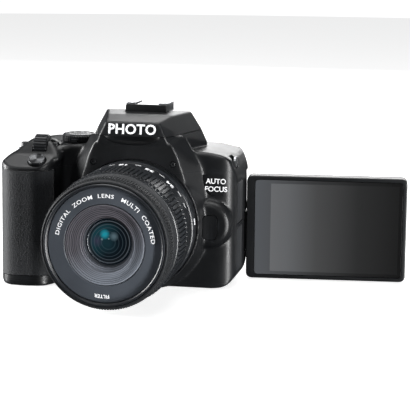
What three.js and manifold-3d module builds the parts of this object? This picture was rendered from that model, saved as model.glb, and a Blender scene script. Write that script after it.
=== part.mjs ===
// A small digital single-lens reflex camera with a zoom lens and its side-hinged screen swung out.
// Millimetres. X = 0 is the lens axis, +X is the camera's own left side (a viewer's right from the front),
// -Y is the way the lens looks, +Z is up and Z = 0 is the base.
import * as THREE from "three";
import { mergeVertices } from "three/addons/utils/BufferGeometryUtils.js";
import { ConvexGeometry } from "three/addons/geometries/ConvexGeometry.js";
import Module from "manifold-3d";

const wasm = await Module();
wasm.setup();

// ---------- driving dimensions ----------
const GAP = 0.3; // between touching pieces
const WALL = 2.2; // casing thickness
const RIGHT = 50.8; // casing side by the screen hinge
const LEFT = -70; // outer side of the hand grip
const GRIP_FRONT = -28;
const FACE = -12; // front face beside the lens
const BACK = 25.2; // back face behind the screen
const THUMB_BACK = 33; // back face behind the hand grip
const BAND_BACK = 31; // back face over the screen
const SCREEN_TOP = 56.7; // underside of the band over the screen
const FLOOR_TOP = 2.8; // upper side of the bottom plate
const WAIST = 61; // seam under the top cover
const SPLIT = 12; // seam between the front and rear covers
const FLANGE = -22; // lens mounting plane
const SENSOR = 22; // image plane, 44 mm behind the flange
const AXIS_Z = 34; // height of the lens axis
const SEAM_Z = 79.2; // lower edge of the flash head
const HEAD_BACK = 3.8; // rear edge of the flash head in front of the shoe
const WING = { inner: 11.7, back: 14 }; // the flash head's two arms beside the shoe
const SHOE_TOP = 92.5;
const SLOPE = THREE.MathUtils.degToRad(29.5); // of the grip's top
const SCREEN = { long: 83.6, tall: 54.6, thick: 8.6, low: 0.6, swing: 5, reach: 2.5 };
const PIVOT = { x: 48.6, y: 25.5, low: 14.7, high: 35.7 }; // the screen's upright hinge
const LENS = { lip: -83.8, grooveAt: -66, ringEnd: -31, radius: 33.2, bore: 28.4 };
const DIAL = { x: -34.7, y: 3, radius: 9.2, low: 72.2, high: 76.4 };
const WHEEL = { x: -51, y: -10.5, z: 70.3, radius: 6.6, width: 7 };
const SHUTTER = { x: -50.5, y: -23.2, z: 65.2, radius: 4.5 };
const EYE = { z: 70.5, y: 34 }; // viewfinder window
const RELEASE = { x: 38.6, z: 32.8, width: 7.2, tall: 12.4, front: -17.8 };

// ---------- materials ----------
const finish = (color, roughness, metalness = 0) =>
  new THREE.MeshStandardMaterial({ color, roughness, metalness });
const blackShell = finish(0x1c1d20, 0.55);
const darkShell = finish(0x141518, 0.45);
const rubber = finish(0x222327, 0.85);
const steel = finish(0xb8babd, 0.35, 1);
const brushed = finish(0x9a9ca0, 0.3, 1);
const glass = finish(0x1d2733, 0.08);
const gloss = finish(0x0b0c0e, 0.15);
const board = finish(0x1f4a33, 0.6);
const innerBlack = finish(0x0f0f10, 0.8);
const silverMirror = finish(0xd5dade, 0.05, 1);
const clear = finish(0xdde3e6, 0.2);

// ---------- solids ----------
const { Vector2, Vector3, Shape } = THREE;

function solid(geometry) {
  const bare = geometry.index ? geometry.toNonIndexed() : geometry.clone();
  bare.deleteAttribute("normal");
  bare.deleteAttribute("uv");
  const merged = mergeVertices(bare, 1e-4);
  const mesh = new wasm.Mesh({
    numProp: 3,
    vertProperties: new Float32Array(merged.attributes.position.array),
    triVerts: new Uint32Array(merged.index.array),
  });
  return new wasm.Manifold(mesh);
}

const join = (...solids) => solids.reduce((sum, next) => sum.add(next));
const cut = (from, ...tools) => tools.reduce((rest, tool) => rest.subtract(tool), from);
const common = (...solids) => solids.reduce((sum, next) => sum.intersect(next));

function box(x0, x1, y0, y1, z0, z1) {
  const block = new THREE.BoxGeometry(x1 - x0, y1 - y0, z1 - z0);
  return solid(block.translate((x0 + x1) / 2, (y0 + y1) / 2, (z0 + z1) / 2));
}

const TURN = {
  x: new THREE.Matrix4().makeRotationZ(-Math.PI / 2),
  y: new THREE.Matrix4(),
  z: new THREE.Matrix4().makeRotationX(Math.PI / 2),
};

// A round bar along an axis, from one station to another, through a centre given in the other two axes.
function rod(axis, radius, from, to, centreA, centreB, sides = 24) {
  const bar = new THREE.CylinderGeometry(radius, radius, to - from, sides);
  const middle = (from + to) / 2;
  bar.applyMatrix4(TURN[axis]);
  if (axis === "x") bar.translate(middle, centreA, centreB);
  if (axis === "y") bar.translate(centreA, middle, centreB);
  if (axis === "z") bar.translate(centreA, centreB, middle);
  return solid(bar);
}

// A body of revolution about the lens axis. The outline is a closed list of [radius, y].
function turned(outline, sides = 36) {
  const points = outline.map(([radius, y]) => new Vector2(radius, y));
  const onAxis = outline[0][0] === 0 && outline.at(-1)[0] === 0;
  if (!onAxis) points.push(points[0].clone());
  let shape = solid(new THREE.LatheGeometry(points, sides));
  if (shape.volume() < 0) shape = solid(new THREE.LatheGeometry(points.reverse(), sides));
  return shape.translate(0, 0, AXIS_Z);
}

const tube = (outer, inner, y0, y1, sides) =>
  turned([[inner, y0], [outer, y0], [outer, y1], [inner, y1]], sides);

// A closed outline whose corners are [across, up, corner radius].
function outline(corners) {
  const shape = new Shape();
  const at = (i) => new Vector2(...corners[(i + corners.length) % corners.length]);
  corners.forEach(([x, y, radius = 0], i) => {
    const corner = new Vector2(x, y);
    const before = at(i - 1).sub(corner).setLength(radius).add(corner);
    const after = at(i + 1).sub(corner).setLength(radius).add(corner);
    if (i === 0) shape.moveTo(before.x, before.y);
    else shape.lineTo(before.x, before.y);
    if (radius > 0) shape.quadraticCurveTo(x, y, after.x, after.y);
  });
  shape.closePath();
  return shape;
}

const slab = (shape, depth, curveSegments) =>
  new THREE.ExtrudeGeometry(shape, { depth, bevelEnabled: false, curveSegments });

const extrudeZ = (corners, z0, z1, curve = 4) =>
  solid(slab(outline(corners), z1 - z0, curve).translate(0, 0, z0));

const extrudeY = (corners, y0, y1, curve = 4) =>
  solid(slab(outline(corners), y1 - y0, curve).rotateX(Math.PI / 2).translate(0, y1, 0));

const hull = (points) => solid(new ConvexGeometry(points.map((p) => new Vector3(...p))));
const mirrored = (points) => points.flatMap(([x, y, z]) => [[x, y, z], [-x, y, z]]);

// A flat pill or rounded block with corner radius r, standing along Y.
const padY = (x0, x1, z0, z1, r, y0, y1, curve = 3) =>
  extrudeY([[x0, z0, r], [x1, z0, r], [x1, z1, r], [x0, z1, r]], y0, y1, curve);

// ---------- the scene ----------
const camera = new THREE.Group();
camera.name = "camera";

function place(parent, name, shape, material) {
  const { numProp, vertProperties, triVerts } = shape.getMesh();
  const positions = new Float32Array((vertProperties.length / numProp) * 3);
  for (let i = 0; i * 3 < positions.length; i++) {
    positions.set(vertProperties.subarray(i * numProp, i * numProp + 3), i * 3);
  }
  const geometry = new THREE.BufferGeometry();
  geometry.setAttribute("position", new THREE.BufferAttribute(positions, 3));
  geometry.setIndex(new THREE.BufferAttribute(triVerts, 1));
  geometry.computeVertexNormals();
  const mesh = new THREE.Mesh(geometry, material);
  mesh.name = name;
  parent.add(mesh);
  return mesh;
}

// ---------- casing ----------
// The plan of the casing, drawn `inset` inside its outer face; `back` is its rear edge behind the screen.
const plan = (inset, back) => [
  [LEFT + inset, GRIP_FRONT + inset, 10],
  [-45 - inset, GRIP_FRONT + inset, 8],
  [-40 - inset, FACE + inset, 3],
  [RIGHT - inset, FACE + inset, 5],
  [RIGHT - inset, back - inset, 1.5],
  [-38.5 - inset, back - inset, 0.5],
  [-39.5 - inset, THUMB_BACK - inset, 1.5],
  [LEFT + inset, THUMB_BACK - inset, 9],
];

// The casing seen from the front, without the hump over the mirror box.
const frontView = [
  [LEFT, 0, 5],
  [RIGHT, 0, 8],
  [RIGHT, 68.6, 9],
  [36, 70.4, 3],
  [-24, 72.6, 2],
  [-60, 71.2, 6],
  [LEFT, 64.5, 5],
];

const hump = hull(
  mirrored([
    [13.8, -25.2, 86.2],
    [16.8, -26.2, 79.4],
    [17.2, -8, 88.3],
    [22.6, 13, 88.4],
    [19, 30, 86.6],
    [21, -14, 78.6],
    [27.6, 15, 79.4],
    [22, -21, 66],
    [31, 15, 72],
    [26, 32.6, 72],
    [22, 33.6, 60],
    [23, -10, 62],
  ]),
);

const fascia = hull(
  mirrored([
    [15.2, -24.4, 79.8],
    [20.2, -24.2, 75],
    [22.8, -23.8, 69.5],
    [27.4, -22.8, 55],
    [27.6, -22.6, 34],
    [24, FACE + 2, 78],
    [31, FACE + 2, 60],
    [32, FACE + 2, 34],
  ]),
);

const shroud = turned([
  [0, FACE + 2], [38, FACE + 2], [37, FACE - 2], [34.6, -22.6], [34.2, -23.6], [0, -23.6],
]);
const releaseBoss = rod("y", 12.5, -16.6, FACE + 2, 37, AXIS_Z, 28);
const dialRamp = hull([
  [-58, -17, 68], [-44, -17, 68], [-45.5, -12, 73.4], [-56, -12, 73.4],
  [-45.5, -6, 73.6], [-56, -6, 73.6], [-43.5, -1, 69], [-59, -1, 69],
]);

const block = common(
  join(extrudeZ(plan(0, BACK), 0, SCREEN_TOP), extrudeZ(plan(0, BAND_BACK), SCREEN_TOP - 0.1, 76)),
  extrudeY(frontView, GRIP_FRONT - 1, THUMB_BACK + 1),
);
// Everything in front of and above the slope over the grip.
const slopeCut = solid(
  new THREE.BoxGeometry(60, 40, 20)
    .translate(0, 0, 10)
    .rotateX(SLOPE)
    .translate(SHUTTER.x - 10, SHUTTER.y, SHUTTER.z - 0.9),
);
const gripSlope = common(slopeCut, box(LEFT - 1, -36, GRIP_FRONT - 5, FACE + 1, 60, 90));
const eyeBoss = padY(-16, 16, 60, 81, 3, 25, EYE.y - GAP);
const outer = common(
  join(cut(block, gripSlope), hump, eyeBoss, fascia, shroud, releaseBoss, dialRamp),
  box(-80, 60, -40, 40, 0, 95),
);

// ---------- cavities ----------
const cavity = join(
  box(-40, 43.5, FACE + WALL, BACK - WALL, FLOOR_TOP - 0.1, 65.5),
  box(-41, 43.5, 14, BAND_BACK - WALL, SCREEN_TOP + WALL, 65.5),
  extrudeZ([[-66.6, -24.4, 7], [-47.6, -24.4, 5], [-47.6, 13, 1], [-66.6, 13, 1]], FLOOR_TOP - 0.1, 59.5, 2),
  extrudeZ([[-66.6, 12.9, 1], [-41.5, 12.9, 1], [-41.5, THUMB_BACK - 3, 1], [-66.6, THUMB_BACK - 3, 6]],
    FLOOR_TOP - 0.1, 66, 2),
  box(-48, -39, -8, 20, FLOOR_TOP - 0.1, 66),
  box(-62, -25.5, -5, 27, 60, 68.4),
  box(24, 42, -8, 27, 60, 67.4),
  box(-24, 24, -20, FACE + WALL + 0.1, 11, 58.4),
  hull(mirrored([[17, -12, 56], [17, 28, 56], [14, -18, 76.4], [15, 26, 76.4]])),
  box(-9, 9, 7, 26, 70, 85), // under the shoe
);
const throat = rod("y", 27.5, -30, FACE, 0, AXIS_Z, 32);
const mountSeat = rod("y", 33.5, -30, -20, 0, AXIS_Z, 36);
const shell = cut(outer, cavity, throat, mountSeat);

// ---------- rubber skin of the grip ----------
const SKIN = 1.4;
const skinZone = join(
  box(LEFT - 1, -42.6, GRIP_FRONT - 1, -6, FLOOR_TOP + 2.8, WAIST - 1.2),
  box(LEFT - 1, -60, -6.1, 22, FLOOR_TOP + 2.8, WAIST - 1.2),
);
const skinZoneOpen = join(
  box(LEFT - 1, -42.3, GRIP_FRONT - 1, -5.7, FLOOR_TOP + 2.5, WAIST - 0.9),
  box(LEFT - 1, -60, -6.1, 22.3, FLOOR_TOP + 2.5, WAIST - 0.9),
);
const gripSkin = cut(common(outer, skinZone), extrudeZ(plan(SKIN, BACK), 0, 70));
const skinBed = cut(common(outer, skinZoneOpen), extrudeZ(plan(SKIN + GAP, BACK), 0, 70));

// ---------- buttons of the back ----------
const backButtons = [
  { name: "exposure_button", x: -46, z: 45, back: THUMB_BACK, r: 2.7 },
  { name: "playback_button", x: -61, z: 13, back: THUMB_BACK, r: 2.6 },
  { name: "delete_button", x: -48, z: 13, back: THUMB_BACK, r: 2.6 },
  { name: "ae_lock_button", x: -54, z: 56.5, back: THUMB_BACK, r: 2.3 },
  { name: "af_point_button", x: -62, z: 56.5, back: THUMB_BACK, r: 2.3 },
  { name: "menu_button", x: 40, z: 63, back: BAND_BACK, r: 2.4 },
  { name: "info_button", x: 32, z: 63, back: BAND_BACK, r: 2.4 },
  { name: "live_view_button", x: -31, z: 63, back: BAND_BACK, r: 2.6 },
];
const CROSS = { x: -54.5, z: 29, radius: 8.4, set: 3.4 };
const buttonHoles = join(
  ...backButtons.map((b) => rod("y", b.r + GAP, b.back - 4, b.back + 1, b.x, b.z, 16)),
  rod("y", CROSS.radius + GAP, THUMB_BACK - 4, THUMB_BACK + 1, CROSS.x, CROSS.z, 28),
);

// ---------- screen hinge ----------
const hingeNotch = box(45.2, RIGHT + 1, 16.2, 40, PIVOT.low - 0.5, PIVOT.high + 0.5);
const ears = join(
  rod("z", 2.2, PIVOT.high + 0.8, PIVOT.high + 4.6, PIVOT.x, PIVOT.y, 16),
  rod("z", 2.2, PIVOT.low - 4.6, PIVOT.low - 0.8, PIVOT.x, PIVOT.y, 16),
);
const earBore = rod("z", 1.5, PIVOT.low - 4, PIVOT.high + 4, PIVOT.x, PIVOT.y, 12);

// ---------- openings and recesses of the covers ----------
const PORT = { y0: -4, y1: 10.6, depth: 1.2 };
const portDoors = [
  { name: "mic_port_door", z0: 33, z1: 54 },
  { name: "hdmi_port_door", z0: 8, z1: 30.6 },
];
const portRecess = join(
  ...portDoors.map((d) => box(
    RIGHT - PORT.depth - GAP, RIGHT + 1, PORT.y0 - GAP, PORT.y1 + GAP, d.z0 - GAP, d.z1 + GAP,
  )),
);
const portHoles = join(box(40, RIGHT, 0, 7, 38, 50), box(40, RIGHT, 0, 7, 12, 26));
const releaseHole = padY(
  RELEASE.x - RELEASE.width / 2 - GAP, RELEASE.x + RELEASE.width / 2 + GAP,
  RELEASE.z - RELEASE.tall / 2 - GAP, RELEASE.z + RELEASE.tall / 2 + GAP, 2.8, -20, FACE + 3.2,
);
const badgeRecess = padY(33.6, 46.6, 48.2, 59.2, 1, FACE - 1, FACE + 0.4);
const DOOR = { x0: -66, x1: -47.3, y0: -20, y1: 12 };
const BUSH = { x: 0, y: 14, radius: 6.5, height: 6.5 };
const dialRecess = join(
  rod("z", DIAL.radius + 1.9, 70.8, 90, DIAL.x, DIAL.y, 32),
  rod("z", 3.4, 64, 72, DIAL.x, DIAL.y, 16),
);
const WHEEL_ROOM = 0.4; // beside the dial
const wheelRecess = rod(
  "x", WHEEL.radius + WHEEL_ROOM, WHEEL.x - WHEEL.width / 2 - WHEEL_ROOM,
  WHEEL.x + WHEEL.width / 2 + WHEEL_ROOM, WHEEL.y, WHEEL.z, 28,
);
const topButtons = [
  { name: "iso_button", x: -44.4, y: -10.4, r: 2.2, top: 72.8 },
  { name: "disp_button", x: -62.2, y: -4, r: 2.2, top: 71.6 },
];
const topButtonHoles = join(...topButtons.map((b) => rod("z", b.r + GAP, 63, 90, b.x, b.y, 14)));
const shutterHole = rod("z", SHUTTER.radius + 0.5, -6, 6, 0, 0, 28)
  .rotate([THREE.MathUtils.radToDeg(SLOPE), 0, 0])
  .translate(SHUTTER.x, SHUTTER.y, SHUTTER.z);
const LUG = { z: 64.8, radius: 2.7, right: RIGHT - 2.1, left: LEFT + 2, yRight: -1, yLeft: 5 };
const lugRecess = join(
  box(LUG.right - 1.6, RIGHT + 2, LUG.yRight - 3.6, LUG.yRight + 3.6, LUG.z - 3.4, 75),
  box(LEFT - 2, LUG.left + 1.6, LUG.yLeft - 3.6, LUG.yLeft + 3.6, LUG.z - 3.4, 75),
);
const SHOE = { half: 10.9, y0: 5.4, y1: 24, floor: 88.9 };
const shoeSeat = join(
  box(-SHOE.half - GAP, SHOE.half + GAP, SHOE.y0 - 0.8, SHOE.y1 + GAP, SHOE.floor - 1.5, 95),
  box(-WING.inner, WING.inner, HEAD_BACK, WING.back + GAP, SHOE.floor - 1.5, 95),
);
const eyeBore = padY(-9.6, 9.6, EYE.z - 6.6, EYE.z + 6.6, 2.4, 24, 40);
// The flash head's block, grown on every inner side by `gap`.
const headZone = (gap) => join(
  box(-40, 40, -40, HEAD_BACK + gap, SEAM_Z - gap, 95),
  box(-40, -WING.inner + gap, -40, WING.back + gap, SEAM_Z - gap, 95),
  box(WING.inner - gap, 40, -40, WING.back + gap, SEAM_Z - gap, 95),
);

const frontCover = cut(
  common(shell, box(-80, 60, -40, SPLIT, FLOOR_TOP + GAP, WAIST - GAP)),
  skinBed, portRecess, portHoles, releaseHole, badgeRecess, shutterHole,
);
const rearCover = cut(
  join(common(shell, box(-80, 60, SPLIT + GAP, 45, FLOOR_TOP + GAP, WAIST - GAP)), ears),
  skinBed, hingeNotch, earBore, buttonHoles,
);
const topCover = cut(
  common(shell, box(-80, 60, -40, 45, WAIST, 95)),
  headZone(GAP), dialRecess, wheelRecess, topButtonHoles, shutterHole,
  lugRecess, shoeSeat, eyeBore, buttonHoles,
);
const bottomPlate = cut(
  common(outer, box(-80, 60, -40, 45, 0, FLOOR_TOP)),
  box(DOOR.x0 - GAP, DOOR.x1 + GAP, DOOR.y0 - GAP, DOOR.y1 + GAP, -1, 5),
  rod("z", BUSH.radius + GAP, -1, 5, BUSH.x, BUSH.y, 24),
  mountSeat,
);

place(camera, "front_cover", frontCover, blackShell);
place(camera, "rear_cover", rearCover, blackShell);
place(camera, "top_cover", topCover, blackShell);
place(camera, "bottom_plate", bottomPlate, darkShell);
place(camera, "grip_skin", gripSkin, rubber);
place(camera, "thumb_rest", padY(-67, -57.5, 39.4, 52.6, 3, THUMB_BACK + GAP, THUMB_BACK + 1.4), rubber);
place(camera, "tripod_bush", cut(
  rod("z", BUSH.radius, 0, BUSH.height, BUSH.x, BUSH.y, 24),
  rod("z", 3.1, -1, 5.5, BUSH.x, BUSH.y, 16),
), steel);

// ---------- inside the body ----------
place(camera, "mirror_box", cut(
  box(-19, 19, -16.5, 10, 13, 54),
  box(-17, 17, -17, 8, 15, 52),
  box(-12, 12, 7, 11, AXIS_Z - 8.2, AXIS_Z + 8.2),
  box(-13.5, 13.5, -13, 6, 51, 55),
), innerBlack);
const MIRROR = { half: 13, long: 24, thick: 1, y: 6.6, z: 50.4 };
const mirrorHinge = new THREE.Group();
mirrorHinge.position.set(0, MIRROR.y, MIRROR.z);
mirrorHinge.rotation.x = Math.PI / 4;
camera.add(mirrorHinge);
place(mirrorHinge, "reflex_mirror",
  box(-MIRROR.half, MIRROR.half, -MIRROR.long, 0, -MIRROR.thick / 2, MIRROR.thick / 2), silverMirror);
place(camera, "focusing_screen", box(-14, 14, -13.5, 7, 54.3, 55.5), clear);
place(camera, "pentamirror", hull(mirrored([
  [14, -10, 57], [14, 12, 57], [14, -12, 62], [14, 14, 60],
  [12, 14, 74], [9, -9, 75], [4, 12, 76], [3, -6, 76],
])), darkShell);
place(camera, "shutter_unit", cut(
  box(-20, 20, 10.4, 13.6, 12, 56),
  box(-12.5, 12.5, 10, 14, AXIS_Z - 8.4, AXIS_Z + 8.4),
), innerBlack);
place(camera, "image_sensor", box(-15, 15, 18.2, SENSOR, AXIS_Z - 11, AXIS_Z + 11), gloss);
place(camera, "main_board", box(23, 42.5, 15.5, 17.1, 6, 58), board);
place(camera, "battery", padY(-64.2, -50.2, 4, 53.5, 1.5, -21.5, 11.2, 2), darkShell);
place(camera, "memory_card", box(-65.4, -42, 16, 18.1, 6, 38), finish(0x22304a, 0.5));
place(camera, "lens_mount_ring", tube(33.1, 27, FLANGE, -20.3), steel);

// ---------- top ----------
const shoeRail = (side) => join(
  box(Math.min(side * 9.4, side * SHOE.half), Math.max(side * 9.4, side * SHOE.half),
    SHOE.y0, SHOE.y1, SHOE.floor - 1.2, SHOE_TOP),
  box(Math.min(side * 6.3, side * SHOE.half), Math.max(side * 6.3, side * SHOE.half),
    SHOE.y0, SHOE.y1, SHOE_TOP - 1.1, SHOE_TOP),
);
place(camera, "hot_shoe", join(
  box(-SHOE.half, SHOE.half, SHOE.y0, SHOE.y1, SHOE.floor - 1.2, SHOE.floor),
  box(-SHOE.half, SHOE.half, SHOE.y0, SHOE.y0 + 1.6, SHOE.floor - 1.2, SHOE_TOP - 1.4),
  shoeRail(-1), shoeRail(1),
), steel);

const headShape = common(hump, headZone(0));
const headHollow = hull(mirrored([[11, -22.4, 79], [11, 0.5, 79], [11, -21.6, 84.2], [13, -1, 85.6]]));
place(camera, "flash_head", cut(headShape, headHollow), blackShell);
const lampHolder = new THREE.Group();
lampHolder.position.set(0, -15.5, 82.2);
lampHolder.rotation.x = THREE.MathUtils.degToRad(50);
camera.add(lampHolder);
place(lampHolder, "flash_lamp", box(-10, 10, -1, 1, -2.2, 2.2), clear);

const dialRibs = Array.from({ length: 24 }, (_, i) => {
  const angle = (i / 24) * 2 * Math.PI;
  const reach = DIAL.radius + 0.2;
  return rod("z", 0.7, DIAL.low + 0.2, DIAL.high - 0.9,
    DIAL.x + reach * Math.cos(angle), DIAL.y + reach * Math.sin(angle), 6);
});
const modeDial = cut(
  join(
    rod("z", DIAL.radius, DIAL.low, DIAL.high, DIAL.x, DIAL.y, 36),
    rod("z", 3, 66, 73, DIAL.x, DIAL.y, 16),
  ),
  ...dialRibs,
);
place(camera, "mode_dial", modeDial, darkShell);
const lever = join(
  cut(
    rod("z", DIAL.radius + 1.4, 71.1, 71.9, DIAL.x, DIAL.y, 32),
    rod("z", 3.3, 70, 73, DIAL.x, DIAL.y, 16),
  ),
  box(DIAL.x - 1.5, DIAL.x + 1.5, DIAL.y - DIAL.radius - 1.4, DIAL.y - DIAL.radius - 0.5, 71.1, 74.4),
  box(DIAL.x - 1.5, DIAL.x + 1.5, DIAL.y - DIAL.radius - 3.2, DIAL.y - DIAL.radius - 0.5, 72.9, 74.4),
);
place(camera, "power_switch", lever, darkShell);
const wheelNotches = Array.from({ length: 20 }, (_, i) => {
  const angle = (i / 20) * 2 * Math.PI;
  const reach = WHEEL.radius + 0.15;
  return rod("x", 0.6, WHEEL.x - WHEEL.width, WHEEL.x + WHEEL.width,
    WHEEL.y + reach * Math.cos(angle), WHEEL.z + reach * Math.sin(angle), 6);
});
place(camera, "main_dial", cut(
  rod("x", WHEEL.radius, WHEEL.x - WHEEL.width / 2, WHEEL.x + WHEEL.width / 2, WHEEL.y, WHEEL.z, 40),
  ...wheelNotches,
), darkShell);

const shutterSeat = new THREE.Group();
shutterSeat.position.set(SHUTTER.x, SHUTTER.y, SHUTTER.z);
shutterSeat.rotation.x = SLOPE;
camera.add(shutterSeat);
const shutterProfile = [
  [0, -3.2], [SHUTTER.radius - 0.6, -3.2], [SHUTTER.radius, -2.6],
  [SHUTTER.radius, 0.5], [SHUTTER.radius - 0.6, 1], [0, 0.7],
].map(([r, h]) => new Vector2(r, h));
place(shutterSeat, "shutter_button",
  solid(new THREE.LatheGeometry(shutterProfile, 32).rotateX(Math.PI / 2)), brushed);

for (const b of topButtons) {
  place(camera, b.name, rod("z", b.r, 66.5, b.top, b.x, b.y, 20), darkShell);
}

const lugRing = (x, y) => cut(
  rod("x", LUG.radius, x - 0.7, x + 0.7, y, LUG.z, 20),
  rod("x", LUG.radius - 1.2, x - 2, x + 2, y, LUG.z, 14),
);
place(camera, "strap_lug_left", lugRing(LUG.left, LUG.yLeft), steel);
place(camera, "strap_lug_right", lugRing(LUG.right, LUG.yRight), steel);
place(camera, "lens_release_button", padY(
  RELEASE.x - RELEASE.width / 2, RELEASE.x + RELEASE.width / 2,
  RELEASE.z - RELEASE.tall / 2, RELEASE.z + RELEASE.tall / 2, 2.8, RELEASE.front, FACE + 1,
), blackShell);

// ---------- eyepiece ----------
place(camera, "eyepiece_lens", padY(-9, 9, EYE.z - 6, EYE.z + 6, 2, 28.6, 31), glass);
place(camera, "eyepiece_frame", cut(
  padY(-14, 14, EYE.z - 9, EYE.z + 9, 3, EYE.y, EYE.y + 2.2),
  padY(-9, 9, EYE.z - 6, EYE.z + 6, 2, EYE.y - 1, EYE.y + 4),
), darkShell);
place(camera, "eyecup", cut(
  padY(-17.5, 17.5, EYE.z - 11.5, EYE.z + 11, 5, EYE.y + 2.5, 41.8),
  padY(-11.5, 11.5, EYE.z - 7.5, EYE.z + 7.5, 3.5, EYE.y, 43),
), rubber);

// ---------- back controls ----------
for (const b of backButtons) {
  place(camera, b.name, rod("y", b.r, b.back - 2, b.back + 0.9, b.x, b.z, 20), darkShell);
}
place(camera, "cross_key", cut(
  rod("y", CROSS.radius, THUMB_BACK - 2, THUMB_BACK + 0.9, CROSS.x, CROSS.z, 32),
  rod("y", CROSS.set + GAP, THUMB_BACK - 4, THUMB_BACK + 4, CROSS.x, CROSS.z, 20),
), darkShell);
place(camera, "set_button",
  rod("y", CROSS.set, THUMB_BACK - 2, THUMB_BACK + 1.1, CROSS.x, CROSS.z, 20), darkShell);

// ---------- doors ----------
place(camera, "battery_door", box(DOOR.x0, DOOR.x1, DOOR.y0, DOOR.y1, 0.3, 2.5), darkShell);
for (const d of portDoors) {
  place(camera, d.name, box(RIGHT - PORT.depth, RIGHT - 0.1, PORT.y0, PORT.y1, d.z0, d.z1), rubber);
}

// ---------- screen ----------
const screenArm = new THREE.Group();
screenArm.position.set(PIVOT.x, PIVOT.y, 0);
screenArm.rotation.z = THREE.MathUtils.degToRad(SCREEN.swing);
camera.add(screenArm);
const midZ = SCREEN.low + SCREEN.tall / 2;
const TILT_Y = -0.2 - SCREEN.thick / 2;
place(screenArm, "hinge_arm", join(
  rod("z", 2.2, PIVOT.low, PIVOT.high, 0, 0, 20),
  box(-2.8, SCREEN.reach - GAP, -7.4, 0, PIVOT.low, PIVOT.high),
  rod("z", 1.2, PIVOT.low - 3.8, PIVOT.high + 3.8, 0, 0, 12),
  rod("x", 1.6, 0, SCREEN.reach + 6.5, TILT_Y, midZ, 12),
), darkShell);
const x0 = SCREEN.reach;
const x1 = x0 + SCREEN.long;
const z0 = SCREEN.low;
const z1 = z0 + SCREEN.tall;
const face = -0.2 - SCREEN.thick;
const seamY = -2.4;
const glassPocket = (grow, y0, y1) =>
  padY(x0 + 4.4 - grow, x1 - 2.2 + grow, z0 + 2.2 - grow, z1 - 2.2 + grow, 2, y0, y1);
const tiltBore = rod("x", 1.9, 0, SCREEN.reach + 7, TILT_Y, midZ, 12);
place(screenArm, "screen_housing", cut(
  padY(x0, x1, z0, z1, 3, face, seamY),
  glassPocket(GAP, face - 1, face + 1.1),
  box(x0 + 12.5, x1 - 3.5, face + 0.9, face + 4, z0 + 3.6, z1 - 3.6),
  tiltBore,
), blackShell);
place(screenArm, "screen_glass", glassPocket(0, face + 0.05, face + 0.8), gloss);
place(screenArm, "lcd_panel", box(x0 + 13, x1 - 4, face + 1.2, face + 3.6, z0 + 4, z1 - 4), gloss);
place(screenArm, "screen_back", padY(x0, x1, z0, z1, 3, seamY + GAP, -0.2), blackShell);

// ---------- lens ----------
place(camera, "lens_barrel", turned([
  [27, LENS.ringEnd], [27, -60], [28.1, -60], [28.1, LENS.ringEnd], [33, LENS.ringEnd], [33, FLANGE - GAP],
  [25.6, FLANGE - GAP], [25.6, -17], [24, -17], [24, FLANGE - GAP], [13.4, FLANGE - GAP], [13.4, -24.6],
  [27, -24.6],
], 40), darkShell);
place(camera, "rear_element", turned([
  [0, -27], [9, -26.4], [13.1, -25], [13.1, -22.6], [8, -21.4], [0, -21],
], 28), glass);
const R = LENS.radius;
place(camera, "zoom_ring", turned([
  [30.2, LENS.grooveAt + 0.3], [R - 0.8, LENS.grooveAt + 0.3], [R, LENS.grooveAt + 1.2], [R, -45.5],
  [R - 0.4, -45.2], [R - 0.4, -41.2], [R, -40.8], [R, LENS.ringEnd - GAP], [30.2, LENS.ringEnd - GAP],
], 48), darkShell);
place(camera, "focus_ring", turned([
  [30, -82.9], [30.9, -82.9], [31.2, -80.2], [32, -80], [32.3, -74.2], [31.8, -74], [32.1, LENS.grooveAt],
  [30, LENS.grooveAt],
], 48), darkShell);
place(camera, "inner_barrel", turned([
  [LENS.bore, LENS.lip], [29.6, LENS.lip], [29.6, -46], [LENS.bore, -46], [LENS.bore, -78], [14.2, -78],
  [14.2, -79.2], [LENS.bore, -79.2],
], 40), darkShell);
place(camera, "name_ring", turned([
  [19.7, -81.6], [28.1, -81.4], [28.1, -79.5], [19.7, -79.5],
], 40), darkShell);
place(camera, "lens_baffle", turned([
  [19.4, -81.7], [19.4, -79.5], [13.9, -79.5], [13.9, -60], [11.6, -60], [11.6, -74.6], [15.6, -76.4],
  [15.6, -77.4], [17.6, -79.2],
], 32), innerBlack);
place(camera, "front_element", turned([
  [0, -74.2], [6, -73.7], [11.3, -72], [11.3, -69.5], [0, -70.5],
], 32), glass);
place(camera, "middle_element", turned([
  [0, -65], [11.3, -64], [11.3, -61.5], [0, -62.4],
], 24), glass);

export default camera;
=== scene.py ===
import math

import bmesh
import bpy
import numpy as np
from mathutils import Matrix, Vector


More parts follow.
